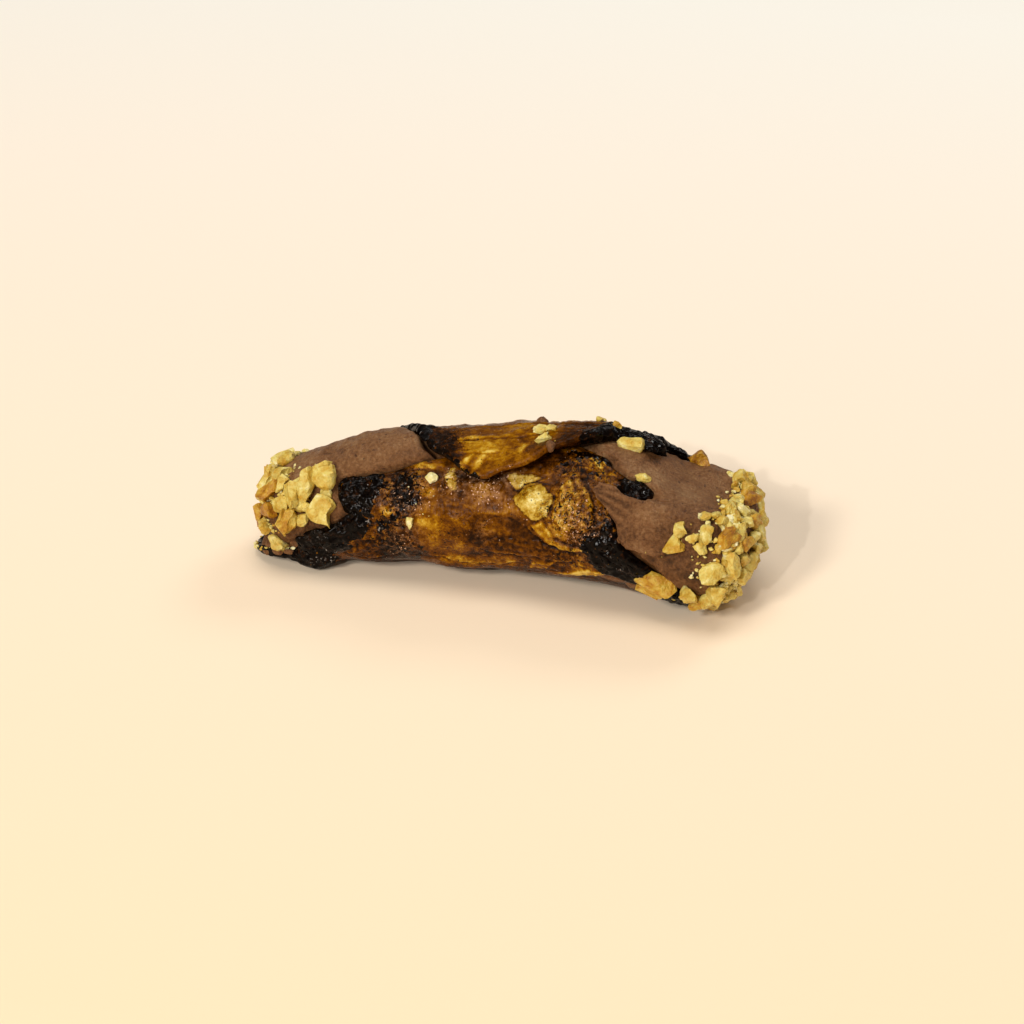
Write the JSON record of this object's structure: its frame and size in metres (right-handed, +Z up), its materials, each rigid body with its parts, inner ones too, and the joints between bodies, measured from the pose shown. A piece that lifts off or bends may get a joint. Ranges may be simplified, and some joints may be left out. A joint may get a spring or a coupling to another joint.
{
  "type": "cannoli",
  "caption": "Cannoli: crisp fried dough rolled into a lapped tube with slanted mouths, filled with chocolate cream that swells out of the ends and is rolled in chopped nuts.",
  "frame": {"origin": "on the table under the middle of the roll's bounding box", "axes": "+X along the roll towards its nuttier mouth, -Y towards the side where the outer corner of the dough is lapped over, +Z up"},
  "size_m": [0.1313, 0.0441, 0.0415],
  "materials": {
    "fried_dough": "satin",
    "chocolate_cream": "satin",
    "chopped_nut": "satin",
    "dark_chocolate": "gloss"
  },
  "bodies": {
    "root": {"shell": "fried_dough", "filling": "chocolate_cream"}
  },
  "joints": []
}
